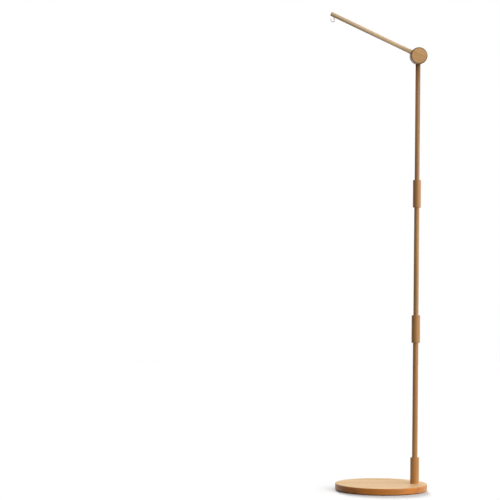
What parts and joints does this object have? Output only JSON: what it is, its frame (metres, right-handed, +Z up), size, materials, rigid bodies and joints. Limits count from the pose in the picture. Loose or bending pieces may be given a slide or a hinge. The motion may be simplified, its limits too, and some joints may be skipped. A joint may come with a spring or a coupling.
{
  "type": "crib mobile stand",
  "caption": "Floor-standing wooden crib mobile holder: round weighted base, plug-together pole with turned sleeves, tilting arm on a clamped disc joint and a small screw hook.",
  "frame": {"origin": "centre of the round base at floor level, on the underside of the floor pad", "axes": "+Z up along the pole, +X from the base's centre towards the pole, so the arm points to -X, -Y is the front with the plain disc, +Y the back with the clamp knob"},
  "size_m": [0.3311, 0.3, 1.5569],
  "materials": {
    "base_wood": "satin clear lacquer on pale beech",
    "pole_wood": "satin oil on beech dowel",
    "arm_wood": "satin oil on beech dowel",
    "disc_wood": "satin oil on turned beech",
    "steel_plate": "black powder coat",
    "zinc_steel": "bright zinc plate",
    "brass_insert": "machined",
    "bright_hook": "bright nickel plate",
    "rubber_pad": "matt cellular rubber",
    "rubber_ring": "matt cork and rubber sheet"
  },
  "bodies": {
    "base": {"base_plate": "base_wood", "floor_pad": "rubber_pad", "ballast_plate": "steel_plate", "ballast_screws": "zinc_steel", "pole_socket": "pole_wood", "socket_insert": "brass_insert", "socket_bolt": "zinc_steel", "socket_washer": "zinc_steel"},
    "lower_pole": {"lower_pole": "pole_wood"},
    "lower_sleeve": {"lower_sleeve": "pole_wood"},
    "middle_pole": {"middle_pole": "pole_wood"},
    "upper_sleeve": {"upper_sleeve": "pole_wood"},
    "upper_pole": {"upper_pole": "pole_wood", "pole_disc": "disc_wood", "friction_ring": "rubber_ring"},
    "arm": {"arm_disc": "disc_wood", "arm_rod": "arm_wood", "screw_hook": "bright_hook", "disc_insert": "brass_insert"},
    "knob_washer": {"knob_washer": "zinc_steel"},
    "knob": {"clamp_knob": "disc_wood", "knob_stud": "zinc_steel", "knob_cap": "disc_wood"}
  },
  "joints": [
    {"name": "lower_pole_lift", "type": "slide", "parent": "base", "child": "lower_pole", "axis": [0, 0, 1], "range_m": [0, 0.06]},
    {"name": "lower_sleeve_lift", "type": "slide", "parent": "lower_pole", "child": "lower_sleeve", "axis": [0, 0, 1], "range_m": [0, 0.045]},
    {"name": "middle_pole_turn", "type": "hinge", "parent": "lower_sleeve", "child": "middle_pole", "pos_m": [0.11, 0, 0.53], "axis": [0, 0, 1], "continuous": true},
    {"name": "upper_sleeve_lift", "type": "slide", "parent": "middle_pole", "child": "upper_sleeve", "axis": [0, 0, 1], "range_m": [0, 0.045]},
    {"name": "upper_pole_turn", "type": "hinge", "parent": "upper_sleeve", "child": "upper_pole", "pos_m": [0.11, 0, 0.972], "axis": [0, 0, 1], "continuous": true},
    {"name": "arm_tilt", "type": "hinge", "parent": "upper_pole", "child": "arm", "pos_m": [0.11, -0.019, 1.4185], "axis": [0, 1, 0], "range_deg": [-114, 65]},
    {"name": "knob_washer_slide", "type": "slide", "parent": "upper_pole", "child": "knob_washer", "axis": [0, 1, 0], "range_m": [0, 0.002]},
    {"name": "knob_turn", "type": "hinge", "parent": "knob_washer", "child": "knob", "pos_m": [0.11, 0.018, 1.4185], "axis": [0, 1, 0], "range_deg": [0, 720]}
  ],
  "couplings": [
    {"joint": "knob_washer_slide", "follows": "knob_turn", "m_per_rad": 0.00015915}
  ]
}
